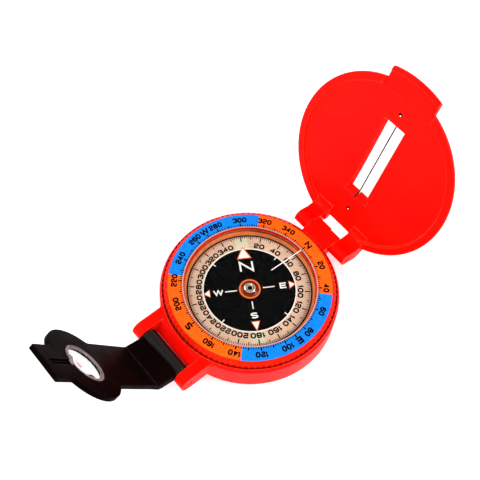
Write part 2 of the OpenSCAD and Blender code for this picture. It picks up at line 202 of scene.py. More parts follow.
class Print:
    """Thin raised marks on a flat face: strokes and outlines, as closed prisms."""

    def __init__(self, low, high):
        self.low, self.high = low, high
        self.points, self.faces = [], []

    def outline(self, loop):
        b, n = len(self.points), len(loop)
        self.points += [(x, y, self.low) for x, y in loop] + [(x, y, self.high) for x, y in loop]
        self.faces.append(tuple(b + n + i for i in range(n)))
        self.faces.append(tuple(b + i for i in reversed(range(n))))
        self.faces += [(b + i, b + (i + 1) % n, b + n + (i + 1) % n, b + n + i) for i in range(n)]

    def stroke(self, line, width, closed=False):
        """A band of even width along a line."""
        left, right, n = [], [], len(line)
        for i, p in enumerate(line):
            a = line[i - 1] if i or closed else None
            c = line[(i + 1) % n] if i < n - 1 or closed else None
            d1 = unit(a, p) if a else unit(p, c)
            d2 = unit(p, c) if c else d1
            nx, ny = -(d1[1] + d2[1]), d1[0] + d2[0]
            k = math.hypot(nx, ny)
            nx, ny = nx / k, ny / k
            miter = min(2.2, 1 / max(0.3, nx * -d1[1] + ny * d1[0])) * width / 2
            left.append((p[0] + nx * miter, p[1] + ny * miter))
            right.append((p[0] - nx * miter, p[1] - ny * miter))
        b = len(self.points)
        for l, r in zip(left, right):
            self.points += [(*l, self.low), (*r, self.low), (*l, self.high), (*r, self.high)]
        for i in range(n if closed else n - 1):
            p, q = b + 4 * i, b + 4 * ((i + 1) % n)
            self.faces += [(p + 2, p + 3, q + 3, q + 2), (p, q, q + 1, p + 1),
                           (p, p + 2, q + 2, q), (p + 1, q + 1, q + 3, p + 3)]
        if not closed:
            e = b + 4 * (n - 1)
            self.faces += [(b, b + 1, b + 3, b + 2), (e, e + 2, e + 3, e + 1)]

    def glyph(self, char, origin, right, up, width, height, pen):
        """One figure, centred on origin. right and up are unit vectors."""
        share, round_share, lines = GLYPHS[char]
        w = width * share
        for line, closed in lines:
            pts = [((x - 0.5) * w, (y - 0.5) * height) for x, y in line]
            pts = rounded(pts, round_share * height, closed)
            pts = [tuple(origin[j] + u * right[j] + v * up[j] for j in (0, 1)) for u, v in pts]
            self.stroke(pts, pen, closed)

    def word(self, text, bearing, radius, width, height, pen, gap):
        """Figures along a circle, with their tops outward."""
        widths = [width * GLYPHS[c][0] for c in text]
        at = -(sum(widths) + gap * (len(text) - 1)) / 2
        for c, w in zip(text, widths):
            a = math.radians(bearing) + (at + w / 2) / radius
            up, right = (math.sin(a), math.cos(a)), (math.cos(a), -math.sin(a))
            self.glyph(c, (radius * up[0], radius * up[1]), right, up, width, height, pen)
            at += w + gap

    def tick(self, bearing, r0, r1, width):
        """A short line along a radius."""
        a = math.radians(bearing)
        s, c = math.sin(a), math.cos(a)
        self.stroke([(r0 * s, r0 * c), (r1 * s, r1 * c)], width)

    def piece(self, name, material, body, slot, matrix):
        return add(name, self.points, self.faces, material, body, matrix, tidy=False)


def unit(a, b):
    d = math.hypot(b[0] - a[0], b[1] - a[1])
    return ((b[0] - a[0]) / d, (b[1] - a[1]) / d)


def rounded(line, radius, closed):
    """The line with its corners rounded."""
    if radius <= 0:
        return line
    out, n = [], len(line)
    for i, p in enumerate(line):
        if not closed and i in (0, n - 1):
            out.append(p)
            continue
        a, b = line[i - 1], line[(i + 1) % n]
        ta = min(radius, math.dist(a, p) * 0.499)
        tb = min(radius, math.dist(b, p) * 0.499)
        ua, ub = unit(p, a), unit(p, b)
        pa, pb = (p[0] + ua[0] * ta, p[1] + ua[1] * ta), (p[0] + ub[0] * tb, p[1] + ub[1] * tb)
        for k in range(6):
            t = k / 5
            out.append(tuple((1 - t) ** 2 * pa[j] + 2 * t * (1 - t) * p[j] + t * t * pb[j] for j in (0, 1)))
    return out


# Figures in a unit square: share of the width, corner rounding as a share of the height, and the lines
GLYPHS = {
    "0": (1.0, 0.42, [([(0, 0), (1, 0), (1, 1), (0, 1)], True)]),
    "1": (0.42, 0.0, [([(0.1, 0.74), (0.8, 1), (0.8, 0)], False)]),
    "2": (0.95, 0.34, [([(0, 0.68), (0, 1), (1, 1), (1, 0.5), (0, 0.46), (0, 0), (0.5, 0), (1, 0)], False)]),
    "3": (0.95, 0.32, [([(0, 0.74), (0, 1), (1, 1), (1, 0.52), (0.35, 0.52)], False),
                       ([(0.35, 0.52), (1, 0.52), (1, 0), (0, 0), (0, 0.26)], False)]),
    "4": (1.0, 0.0, [([(0.74, 0), (0.74, 1), (0, 0.3), (1.02, 0.3)], False)]),
    "6": (1.0, 0.34, [([(0.95, 0.76), (0.95, 1), (0, 1), (0, 0), (1, 0), (1, 0.56), (0.02, 0.56)], False)]),
    "8": (1.0, 0.3, [([(0.06, 0.53), (0.94, 0.53), (0.94, 1), (0.06, 1)], True),
                     ([(0, 0), (1, 0), (1, 0.53), (0, 0.53)], True)]),
    "N": (1.0, 0.0, [([(0, 0), (0, 1), (1, 0), (1, 1)], False)]),
    "E": (1.0, 0.0, [([(1, 1), (0, 1), (0, 0), (1, 0)], False), ([(0, 0.5), (0.9, 0.5)], False)]),
    "S": (1.0, 0.0, [(arc(0.5, 0.76, 0.5, 25, 255, 14, 0.48)
                      + arc(0.5, 0.25, 0.5, 75, -155, 14, 0.5), False)]),
    "W": (1.5, 0.0, [([(0, 1), (0.25, 0), (0.5, 0.95), (0.75, 0), (1, 1)], False)]),
}


# ---------------------------------------------------------------- materials

def new_material(name):
    m = bpy.data.materials.new(name)
    m.use_nodes = True
    m.node_tree.nodes.clear()
    return m, m.node_tree


def node(nt, kind, **values):
    n = nt.nodes.new(kind)
    for k, v in values.items():
        if hasattr(n, k):
            setattr(n, k, v)
        else:
            n.inputs[k.replace("_", " ")].default_value = v
    return n


def noise(nt, coords, size_mm, detail=3.0, rough=0.55):
    """Noise whose features are about size_mm across."""
    n = node(nt, "ShaderNodeTexNoise")
    n.inputs["Scale"].default_value = 1.0 / (size_mm * MM)
    n.inputs["Detail"].default_value = detail
    n.inputs["Roughness"].default_value = rough
    nt.links.new(coords.outputs["Object"], n.inputs["Vector"])
    return n.outputs["Fac"]


def spread(nt, value, low, high, from_low=0.3, from_high=0.7):
    """A value stretched from one range to another."""
    n = node(nt, "ShaderNodeMapRange")
    for k, v in (("From Min", from_low), ("From Max", from_high), ("To Min", low), ("To Max", high)):
        n.inputs[k].default_value = v
    nt.links.new(value, n.inputs["Value"])
    return n.outputs["Result"]


def blend(nt, factor, a, b):
    """A colour between a and b; each is a colour or a socket."""
    n = node(nt, "ShaderNodeMix", data_type="RGBA")
    nt.links.new(factor, n.inputs["Factor"])
    for key, c in (("A", a), ("B", b)):
        s = [i for i in n.inputs if i.name == key and i.type == "RGBA"][0]
        if isinstance(c, tuple):
            s.default_value = (*c, 1)
        else:
            nt.links.new(c, s)
    return [o for o in n.outputs if o.type == "RGBA"][0]


def dents(nt, heights, normal=None):
    """Bumps one after another. heights holds (value, depth in mm)."""
    for value, depth in heights:
        b = node(nt, "ShaderNodeBump")
        b.inputs["Strength"].default_value = 1.0
        b.inputs["Distance"].default_value = depth * MM
        nt.links.new(value, b.inputs["Height"])
        if normal:
            nt.links.new(normal, b.inputs["Normal"])
        normal = b.outputs["Normal"]
    return normal


def scratches(nt, coords, size_mm, turn):
    """Fine lines, from noise stretched in one direction."""
    m = node(nt, "ShaderNodeMapping")
    m.inputs["Rotation"].default_value = (0.3, 0.2, turn)
    m.inputs["Scale"].default_value = (1.0, 0.03, 1.0)
    nt.links.new(coords.outputs["Object"], m.inputs["Vector"])
    n = node(nt, "ShaderNodeTexNoise")
    n.inputs["Scale"].default_value = 1.0 / (size_mm * MM)
    n.inputs["Detail"].default_value = 2.0
    nt.links.new(m.outputs["Vector"], n.inputs["Vector"])
    return n.outputs["Fac"]


def moulded(name, color, darker, roughness=(0.2, 0.34), specular=0.25, peel=0.004, grain=0.0, edge=0.22,
            edge_highlight=None):
    """Moulded plastic: faint colour flow, uneven gloss, orange peel, fine grain and softened edges.

    peel and grain are depths and edge a radius, in millimetres. The last argument gives the colour of a
    painted highlight along the edges, laid on in patches.
    """
    m, nt = new_material(name)
    co = node(nt, "ShaderNodeTexCoord")
    out = node(nt, "ShaderNodeOutputMaterial")
    p = node(nt, "ShaderNodeBsdfPrincipled")
    base = blend(nt, spread(nt, noise(nt, co, 14), 0.0, 1.0), color, darker)
    bevel = node(nt, "ShaderNodeBevel", samples=4)
    bevel.inputs["Radius"].default_value = edge * MM
    # painted highlight along the edges: where the rounded normal leaves the true one, the colour goes toward
    # the highlight colour, in patches
    if edge_highlight:
        geo = node(nt, "ShaderNodeNewGeometry")
        dot = node(nt, "ShaderNodeVectorMath", operation="DOT_PRODUCT")
        nt.links.new(geo.outputs["True Normal"], dot.inputs[0])
        nt.links.new(bevel.outputs["Normal"], dot.inputs[1])
        edges = spread(nt, dot.outputs["Value"], 0.8, 0.0, 0.80, 0.97)
        patchy = spread(nt, noise(nt, co, 0.9), 0.35, 1.0, 0.42, 0.62)
        base = blend(nt, math_node(nt, "MULTIPLY", edges, patchy), base, edge_highlight)
    nt.links.new(base, p.inputs["Base Color"])
    gloss = node(nt, "ShaderNodeMath", operation="ADD")
    nt.links.new(spread(nt, noise(nt, co, 5), *roughness), gloss.inputs[0])
    nt.links.new(spread(nt, scratches(nt, co, 0.35, 0.7), 0.0, 0.12, 0.62, 0.75), gloss.inputs[1])
    nt.links.new(gloss.outputs[0], p.inputs["Roughness"])
    p.inputs["Specular IOR Level"].default_value = specular
    heights = [(noise(nt, co, 1.6, 2), peel)]
    if grain:
        heights.append((noise(nt, co, 0.16, 2), grain))
    nt.links.new(dents(nt, heights, bevel.outputs["Normal"]), p.inputs["Normal"])
    nt.links.new(p.outputs[0], out.inputs[0])
    return m


def metal(name, color, roughness, turned=0.12, dirt=(0.1, 0.09, 0.08)):
    """Turned or drawn metal with fine tool marks and a little tarnish."""
    m, nt = new_material(name)
    co = node(nt, "ShaderNodeTexCoord")
    out = node(nt, "ShaderNodeOutputMaterial")
    p = node(nt, "ShaderNodeBsdfPrincipled")
    p.inputs["Metallic"].default_value = 1.0
    tarnish = spread(nt, noise(nt, co, 0.9), 0.0, 0.35, 0.5, 0.75)
    nt.links.new(blend(nt, tarnish, color, dirt), p.inputs["Base Color"])
    nt.links.new(spread(nt, noise(nt, co, 0.4), roughness, roughness + 0.15), p.inputs["Roughness"])
    nt.links.new(dents(nt, [(scratches(nt, co, turned, 0.1), 0.003)]), p.inputs["Normal"])
    nt.links.new(p.outputs[0], out.inputs[0])
    return m


def see_through(name, tint, ior, haze=0.0, haze_color=(1, 1, 1), roughness=0.03):
    """Clear polished plastic that lets lamps through, with a faint reflection and, if wanted, a haze."""
    m, nt = new_material(name)
    co = node(nt, "ShaderNodeTexCoord")
    out = node(nt, "ShaderNodeOutputMaterial")
    clear = node(nt, "ShaderNodeBsdfTransparent")
    clear.inputs["Color"].default_value = (*tint, 1)
    shine = node(nt, "ShaderNodeBsdfGlossy")
    nt.links.new(spread(nt, noise(nt, co, 3), roughness, roughness + 0.05), shine.inputs["Roughness"])
    nt.links.new(dents(nt, [(scratches(nt, co, 0.5, 1.1), 0.0006)]), shine.inputs["Normal"])
    fres = node(nt, "ShaderNodeFresnel")
    fres.inputs["IOR"].default_value = ior
    under = clear.outputs[0]
    if haze:
        d = node(nt, "ShaderNodeBsdfDiffuse")
        d.inputs["Color"].default_value = (*haze_color, 1)
        mix = node(nt, "ShaderNodeMixShader")
        nt.links.new(spread(nt, noise(nt, co, 2), haze * 0.9, haze * 1.1), mix.inputs[0])
        nt.links.new(under, mix.inputs[1])
        nt.links.new(d.outputs[0], mix.inputs[2])
        under = mix.outputs[0]
    top = node(nt, "ShaderNodeMixShader")
    nt.links.new(fres.outputs[0], top.inputs[0])
    nt.links.new(under, top.inputs[1])
    nt.links.new(shine.outputs[0], top.inputs[2])
    nt.links.new(top.outputs[0], out.inputs[0])
    return m


def glass(name, tint, ior, roughness=0.02):
    """Thick clear plastic or glass that bends light, but lets lamps straight through."""
    m, nt = new_material(name)
    co = node(nt, "ShaderNodeTexCoord")
    out = node(nt, "ShaderNodeOutputMaterial")
    g = node(nt, "ShaderNodeBsdfGlass")
    g.inputs["Color"].default_value = (*tint, 1)
    g.inputs["IOR"].default_value = ior
    nt.links.new(spread(nt, noise(nt, co, 2), roughness, roughness + 0.06), g.inputs["Roughness"])
    nt.links.new(dents(nt, [(noise(nt, co, 2.5, 1), 0.004)]), g.inputs["Normal"])
    t = node(nt, "ShaderNodeBsdfTransparent")
    t.inputs["Color"].default_value = (*tint, 1)
    path = node(nt, "ShaderNodeLightPath")
    mix = node(nt, "ShaderNodeMixShader")
    nt.links.new(path.outputs["Is Shadow Ray"], mix.inputs[0])
    nt.links.new(g.outputs[0], mix.inputs[1])
    nt.links.new(t.outputs[0], mix.inputs[2])
    nt.links.new(mix.outputs[0], out.inputs[0])
    return m


def printed(name, color, fleck, roughness=0.45, specular=0.2):
    """Ink or paint: small uneven patches of cover, and a fine tooth."""
    m, nt = new_material(name)
    co = node(nt, "ShaderNodeTexCoord")
    out = node(nt, "ShaderNodeOutputMaterial")
    p = node(nt, "ShaderNodeBsdfPrincipled")
    cover = spread(nt, noise(nt, co, 0.5), 0.0, 1.0, 0.45, 0.8)
    nt.links.new(blend(nt, cover, color, fleck), p.inputs["Base Color"])
    nt.links.new(spread(nt, noise(nt, co, 0.3), roughness, roughness + 0.15), p.inputs["Roughness"])
    p.inputs["Specular IOR Level"].default_value = specular
    nt.links.new(dents(nt, [(noise(nt, co, 0.12, 2), 0.0012)]), p.inputs["Normal"])
    nt.links.new(p.outputs[0], out.inputs[0])
    return m


def math_node(nt, operation, a, b=None):
    """A sum, product or comparison of numbers or sockets."""
    n = node(nt, "ShaderNodeMath", operation=operation)
    for i, v in enumerate((a, b)):
        if v is None:
            continue
        if isinstance(v, (int, float)):
            n.inputs[i].default_value = v
        else:
            nt.links.new(v, n.inputs[i])
    return n.outputs[0]


def by_place(name, paint, roughness=0.4, specular=0.25):
    """A face whose colour depends on its place. paint(nt, co, r, x, y), with r in mm, gives the colour."""
    m, nt = new_material(name)
    co = node(nt, "ShaderNodeTexCoord")
    out = node(nt, "ShaderNodeOutputMaterial")
    p = node(nt, "ShaderNodeBsdfPrincipled")
    sep = node(nt, "ShaderNodeSeparateXYZ")
    nt.links.new(co.outputs["Object"], sep.inputs[0])
    x, y = sep.outputs["X"], sep.outputs["Y"]
    r2 = math_node(nt, "ADD", math_node(nt, "MULTIPLY", x, x), math_node(nt, "MULTIPLY", y, y))
    r = math_node(nt, "DIVIDE", math_node(nt, "SQRT", r2), MM)
    color = paint(nt, co, r, x, y)
    nt.links.new(color, p.inputs["Base Color"])
    nt.links.new(spread(nt, noise(nt, co, 0.4), roughness, roughness + 0.12), p.inputs["Roughness"])
    p.inputs["Specular IOR Level"].default_value = specular
    nt.links.new(dents(nt, [(noise(nt, co, 0.15, 2), 0.0015)]), p.inputs["Normal"])
    nt.links.new(p.outputs[0], out.inputs[0])
    return m


def paint_card(nt, co, r, x, y):
    """Black centre, a thin white line round it, and a cream border that is a little darker in places."""
    cream = blend(nt, spread(nt, noise(nt, co, 3), 0.0, 1.0), (0.70, 0.46, 0.32), (0.58, 0.35, 0.24))
    tooth = blend(nt, spread(nt, noise(nt, co, 0.25), 0.0, 0.6), cream, (0.84, 0.64, 0.50))
    white = blend(nt, math_node(nt, "GREATER_THAN", r, 14.02), (0.9, 0.88, 0.86), tooth)
    patches = spread(nt, noise(nt, co, 0.7), 0.0, 1.0, 0.5, 0.8)
    black = blend(nt, patches, (0.001, 0.001, 0.0012), (0.004, 0.003, 0.003))
    return blend(nt, math_node(nt, "GREATER_THAN", r, 13.74), black, white)


def paint_cup(nt, co, r, x, y):
    """Orange plastic, with painted shade: almost black in the narrow gap beside the card, below its face."""
    z = node(nt, "ShaderNodeSeparateXYZ")
    nt.links.new(co.outputs["Object"], z.inputs[0])
    # painted shade: below the card's face the wall goes to near black, for the shadow in the gap
    low = spread(nt, z.outputs["Z"], 1.0, 0.0, (CARD_Z - 0.1) * MM, (CARD_Z + 0.12) * MM)
    wall = blend(nt, spread(nt, noise(nt, co, 2), 0.0, 1.0), (0.95, 0.27, 0.08), (0.75, 0.17, 0.05))
    return blend(nt, low, wall, (0.02, 0.004, 0.002))


def paint_scale(nt, co, r, x, y):
    """Orange quarters about north and south, blue quarters about east and west."""
    t = math.radians(-RING_TURN)
    x_cos, x_sin = (math_node(nt, "MULTIPLY", x, f(t)) for f in (math.cos, math.sin))
    y_cos, y_sin = (math_node(nt, "MULTIPLY", y, f(t)) for f in (math.cos, math.sin))
    along_x = math_node(nt, "ABSOLUTE", math_node(nt, "ADD", x_cos, y_sin))
    along_y = math_node(nt, "ABSOLUTE", math_node(nt, "SUBTRACT", y_cos, x_sin))
    east = math_node(nt, "GREATER_THAN", along_x, along_y)
    orange = blend(nt, spread(nt, noise(nt, co, 0.9), 0.0, 1.0), (0.97, 0.125, 0.004), (0.84, 0.085, 0.003))
    blue = blend(nt, spread(nt, noise(nt, co, 0.9), 0.0, 1.0), (0.003, 0.21, 0.74), (0.002, 0.155, 0.62))
    return blend(nt, east, orange, blue)


# painted highlight: lighter orange along the edges of the red plastic
red = moulded("red_moulded", (0.95, 0.003, 0.0), (0.88, 0.001, 0.0), roughness=(0.3, 0.38), specular=0.05,
              peel=0.0012, edge=0.3, edge_highlight=(1.0, 0.15, 0.05))
orange = moulded("orange_moulded", (0.95, 0.20, 0.03), (0.85, 0.14, 0.02), roughness=(0.25, 0.4), peel=0.002)
# painted highlight: lighter grey along the edges of the black plastic
black = moulded("black_moulded", (0.0012, 0.0007, 0.0007), (0.004, 0.001, 0.0008), roughness=(0.4, 0.52),
                specular=0.006, peel=0.002, grain=0.0022, edge=0.2, edge_highlight=(0.10, 0.09, 0.09))
dark_red = moulded("dark_red_moulded", (0.22, 0.012, 0.004), (0.12, 0.006, 0.003), roughness=(0.2, 0.3),
                   peel=0.001)
rubber = moulded("rubber", (0.01, 0.01, 0.01), (0.02, 0.02, 0.02), roughness=(0.6, 0.8), grain=0.004)
seal = moulded("seal_rubber", (0.5, 0.1, 0.03), (0.42, 0.08, 0.02), roughness=(0.5, 0.7), peel=0.003)
# painted highlight: lighter grey along the edges of the glossy black plastic
glossy_black = moulded("glossy_black", (0.0030, 0.0015, 0.0015), (0.006, 0.002, 0.0015), roughness=(0.2, 0.3),
                       specular=0.3, peel=0.002, grain=0.0015, edge=0.2, edge_highlight=(0.10, 0.09, 0.09))
clear_window = see_through("clear_window", (0.985, 0.985, 0.98), 1.08, roughness=0.02)
clear_cover = see_through("clear_cover", (0.99, 0.99, 0.985), 1.05, roughness=0.02)
clear_ring = see_through("clear_ring", (0.97, 0.93, 0.92), 1.14, haze=0.8, haze_color=(0.93, 0.015, 0.003))
smoky = see_through("smoky_ring", (0.75, 0.70, 0.70), 1.35, haze=0.45, haze_color=(0.30, 0.24, 0.24))
clear_edge = see_through("clear_edge", (0.9, 0.88, 0.86), 1.4, haze=0.35, haze_color=(0.75, 0.68, 0.62))
lens_glass = glass("lens_glass", (0.98, 0.985, 0.98), 1.46, roughness=0.0)
jewel_glass = glass("jewel_glass", (0.3, 0.02, 0.015), 1.6, roughness=0.0)
steel = metal("steel", (0.62, 0.62, 0.64), 0.24)
# near-black steel: painted shade, so the lid pin's end reads as a dark hole
steel_painted_shade = metal("steel_painted_shade", (0.02, 0.018, 0.016), 0.45)
brass = metal("brass", (0.86, 0.78, 0.62), 0.12)
bead_metal = metal("bead_metal", (0.85, 0.95, 0.35), 0.15)
wire_black = moulded("wire_black", (0.003, 0.002, 0.002), (0.012, 0.006, 0.005), roughness=(0.4, 0.6),
                     specular=0.1, peel=0.0004, edge=0.02)
ink = printed("black_ink", (0.001, 0.001, 0.001), (0.006, 0.004, 0.004), specular=0.02)
white_ink = printed("white_ink", (0.92, 0.90, 0.88), (0.75, 0.70, 0.68))
orange_ink = printed("orange_ink", (0.9, 0.16, 0.015), (0.7, 0.10, 0.01))
white_line = printed("white_line", (0.95, 0.94, 0.93), (0.85, 0.82, 0.8))
glow = printed("luminous_paint", (0.68, 0.64, 0.46), (0.52, 0.50, 0.36), roughness=0.6)
card_print = by_place("card_print", paint_card, specular=0.04)
scale_print = by_place("scale_print", paint_scale, specular=0.08)
cup_orange = by_place("cup_orange", paint_cup, roughness=0.25, specular=0.3)


# ---------------------------------------------------------------- finish of the CAD's own pieces

def dress(material, *names):
    """The material of some CAD nodes."""
    for n in names:
        o = NODES[n]
        o.data.materials.clear()
        o.data.materials.append(material)


dress(red, "case_body", "base_cover", "lid")
dress(cup_orange, "capsule_cup")
dress(clear_cover, "capsule_cover")
dress(seal, "capsule_seal")
dress(rubber, "fill_plug", "ring_friction_band")
dress(brass, "pivot_bush")
dress(steel, "pivot_needle", "ring_retainer", "bar_magnet")
dress(card_print, "compass_card")
dress(scale_print, "scale_ring")
dress(glow, "north_patch", "south_patch")

for n, width in (("case_body", 0.22), ("lid", 0.22), ("base_cover", 0.2)):
    bevel = NODES[n].modifiers.new("round_edges", "BEVEL")
    bevel.width = width * MM
    bevel.segments = 3
    bevel.limit_method = "ANGLE"
    bevel.angle_limit = math.radians(42)
    bevel.harden_normals = False
    bevel.miter_outer = "MITER_ARC"

# ---------------------------------------------------------------- case and pins


def pin(name, x0, x1, y, z, material, replaces):
    """A hinge pin with rounded ends."""
    c = 0.18
    prof = [(0, x0), (PIN_R - c, x0), (PIN_R, x0 + c), (PIN_R, x1 - c), (PIN_R - c, x1), (0, x1)]
    pts, faces = lathe(prof, 48)
    at_pin = Matrix.Translation((0, y, z)) @ ALONG_X
    return add(name, pts, faces, material, "case", at_pin, (replaces,))


lo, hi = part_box("arm_hinge_pin")
pin("arm_pin_turned", lo.x / MM, hi.x / MM, *ARM_PIN, steel, "arm_hinge_pin")
lo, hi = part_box("lid_hinge_pin")
# the lid pin is painted near black, as the shade inside its hole
pin("lid_pin_turned", lo.x / MM, hi.x / MM, *LID_PIN, steel_painted_shade, "lid_hinge_pin")

# ---------------------------------------------------------------- turning ring

SCALLOPS = 96
SCALLOP_DEPTH = 0.36


def scallop(r, z, a):
    """The grip's outer wall goes in and out."""
    if r < 24.9:
        return r
    return r - SCALLOP_DEPTH * (0.5 + 0.5 * math.cos(SCALLOPS * a)) ** 0.7


profile = [(21.45, 6.6), (22.6, 6.6), (22.6, 7.05), (22.15, 7.05), (22.15, 7.95), (22.6, 7.95), (22.6, 8.5),
           (25.55, 8.5), (25.75, 8.7), (25.75, 10.75), (25.62, 11.0), (25.3, 11.22), (24.75, 11.85),
           (24.6, 11.97), (24.42, 11.97), (24.42, 11.6), (20.17, 11.6), (20.17, 11.3), (19.62, 11.3),
           (19.5, 11.22), (19.5, 11.05), (21.45, 11.05)]
pts, faces = lathe(profile, SCALLOPS * 8, scallop)
add("clear_grip_ring", pts, faces, clear_ring, "ring", AT_RING, ("turning_ring",), angle=50)

prof = [(0, 11.3), (20.05, 11.3), (20.12, 11.37), (20.12, 11.83), (20.0, SCALE_Z), (0, SCALE_Z)]
pts, faces = lathe(prof, 180)
add("clear_window_disc", pts, faces, clear_window, "ring", AT_RING, ("ring_window",))

# the window's bright edge, where it sits in the scale
prof = [(19.74, SCALE_Z - 0.03), (20.1, SCALE_Z - 0.03), (20.1, SCALE_Z + 0.02), (20.02, SCALE_Z + 0.05),
        (19.86, SCALE_Z + 0.05), (19.74, SCALE_Z + 0.01)]
pts, faces = lathe(prof, 240)
add("window_edge", pts, faces, clear_edge, "ring", AT_RING)

line = Print(SCALE_Z - 0.19, SCALE_Z + 0.012)
line.stroke([(0, 8.02), (0, 14.0), (0, 19.56)], 0.2)
index = line.piece("index_line_filled", white_line, "ring", "white_filler", AT_RING)
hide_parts("index_line")

SCALE_TICK_R = 20.16  # the ticks start here and point outward
marks = Print(SCALE_Z - 0.005, SCALE_Z + 0.014)
for d in range(0, 360, 2):
    if d % 20 == 0 or d in (90, 270):
        marks.tick(d, SCALE_TICK_R, 21.3, 0.46)
    elif d % 10 == 0:
        marks.tick(d, SCALE_TICK_R, 21.1, 0.38)
    else:
        marks.tick(d, SCALE_TICK_R, 20.76, 0.28)
for d in range(20, 360, 20):
    if d != 180:
        marks.word(str(d), d, 22.5, 0.94, 1.38, 0.48, 0.52)
for d, c in ((0, "N"), (90, "E"), (180, "S"), (270, "W")):
    marks.word(c, d, 22.52, 1.6, 1.6, 0.56, 0)
marks.piece("scale_figures", ink, "ring", "scale_print", AT_RING)

# ---------------------------------------------------------------- card

CARD_TICK_R = 18.22  # the ticks end here and point inward
face = Print(CARD_Z - 0.002, CARD_Z + 0.012)
for d in range(0, 360, 2):
    if d % 20 == 0:
        face.tick(d, 16.5, CARD_TICK_R, 0.36)
    elif d % 10 == 0:
        face.tick(d, 17.2, CARD_TICK_R, 0.28)
    else:
        face.tick(d, 17.68, CARD_TICK_R, 0.2)
# ticks and figures over the luminous patches are lifted onto them
face.points = [(x, y, z + (0.045 if abs(x) < 2.1 and abs(y) > 13.8 else 0)) for x, y, z in face.points]
for d in range(20, 360, 20):
    face.word(str(d), d, 15.2, 1.18, 1.32, 0.46, 0.56)
face.points = [(x, y, z + (0.04 if abs(x) < 2.5 and y < -13.8 and z < CARD_Z + 0.02 else 0))
               for x, y, z in face.points]
face.piece("card_figures", ink, "card", "card_print", AT_CARD)

letters = Print(CARD_Z - 0.002, CARD_Z + 0.014)
X, Y = (1, 0), (0, 1)
letters.glyph("N", (0.2, 7.8), X, Y, 3.7, 3.15, 0.58)
letters.glyph("E", (10.15, 0.0), X, Y, 1.75, 1.5, 0.42)
letters.glyph("W", (-9.45, 0.0), X, Y, 1.75, 1.5, 0.4)
letters.glyph("S", (0.0, -8.75), X, Y, 1.75, 1.5, 0.42)
letters.stroke([(4.0, 0), (7.5, 0)], 0.34)
letters.stroke([(-3.9, 0), (-7.4, 0)], 0.34)
letters.stroke([(0, -4.1), (0, -6.6)], 0.34)
for d in (45, 135, 225, 315):
    letters.tick(d, 12.65, 13.75, 0.28)
letters.piece("card_letters", white_ink, "card", "card_print", AT_CARD)

TRIANGLES = [[(-2.3, 10.5), (2.3, 10.5), (0, 14.75)], [(11.9, -1.35), (13.95, 0), (11.9, 1.35)],
             [(-11.9, 1.35), (-13.95, 0), (-11.9, -1.35)], [(1.35, -10.6), (-1.35, -10.6), (0, -13.9)]]
rim, fill = Print(CARD_Z - 0.002, CARD_Z + 0.058), Print(CARD_Z - 0.002, CARD_Z + 0.064)
for t in TRIANGLES:
    rim.outline(t)
    cx, cy = sum(p[0] for p in t) / 3, sum(p[1] for p in t) / 3
    k = 0.8 if t is TRIANGLES[0] else 0.76
    fill.outline([(cx + (x - cx) * k, cy + (y - cy) * k) for x, y in t])
rim.piece("card_triangle_edges", orange_ink, "card", "card_print", AT_CARD)
fill.piece("card_triangles", white_ink, "card", "card_print", AT_CARD)

# hub: an orange rim, a dark red cone, a brass cup and the jewel
prof = [(1.85, CARD_Z + 0.01), (3.2, CARD_Z + 0.01), (3.26, CARD_Z + 0.1), (3.2, CARD_Z + 0.34),
        (3.0, CARD_Z + 0.42), (2.8, CARD_Z + 0.36), (2.72, CARD_Z + 0.2), (1.85, CARD_Z + 0.2)]
pts, faces = lathe(prof, 96)
add("hub_rim", pts, faces, orange, "card", AT_CARD, ("card_hub",))
prof = [(1.85, CARD_Z + 0.21), (2.70, CARD_Z + 0.21), (2.66, CARD_Z + 0.3), (2.0, CARD_Z + 0.62),
        (1.85, CARD_Z + 0.66)]
pts, faces = lathe(prof, 96)
add("hub_cone", pts, faces, dark_red, "card", AT_CARD)
prof = [(1.3, 7.2), (1.78, 7.2), (1.78, 9.7), (1.7, 9.88), (1.52, 9.96), (1.3, 9.92), (1.1, 9.72),
        (0.72, 9.66), (0.72, 9.2)]
pts, faces = lathe(prof, 96)
add("jewel_cup_turned", pts, faces, brass, "card", AT_CARD, ("jewel_cup",))
prof = [(0, 9.28), (0.4, 9.1), (0.66, 9.1), (0.68, 9.5)] + arc(0, 9.14, 0.8, 32, 90, 6)
pts, faces = lathe(prof, 64)
add("jewel_polished", pts, faces, jewel_glass, "card", AT_CARD, ("pivot_jewel",))

# ---------------------------------------------------------------- sighting wire and its beads

WIRE_R, WIRE_N, WIRE_V = 0.2, -7.75, (10.0, 47.2)


def tube(line, radius, sides=16):
    """A round wire along a line of points."""
    points, faces = [], []
    for i, p in enumerate(line):
        a, b = line[max(0, i - 1)], line[min(len(line) - 1, i + 1)]
        d = (Vector(b) - Vector(a)).normalized()
        s = Vector((1, 0, 0)).cross(d).normalized()
        t = d.cross(s)
        for k in range(sides):
            c = 2 * math.pi * k / sides
            points.append(tuple(Vector(p) + radius * (math.cos(c) * s + math.sin(c) * t)))
    n = len(line)
    for i in range(n - 1):
        for k in range(sides):
            m = (k + 1) % sides
            faces.append((i * sides + k, i * sides + m, (i + 1) * sides + m, (i + 1) * sides + k))
    faces.append(tuple(reversed(range(sides))))
    faces.append(tuple((n - 1) * sides + k for k in range(sides)))
    return points, faces


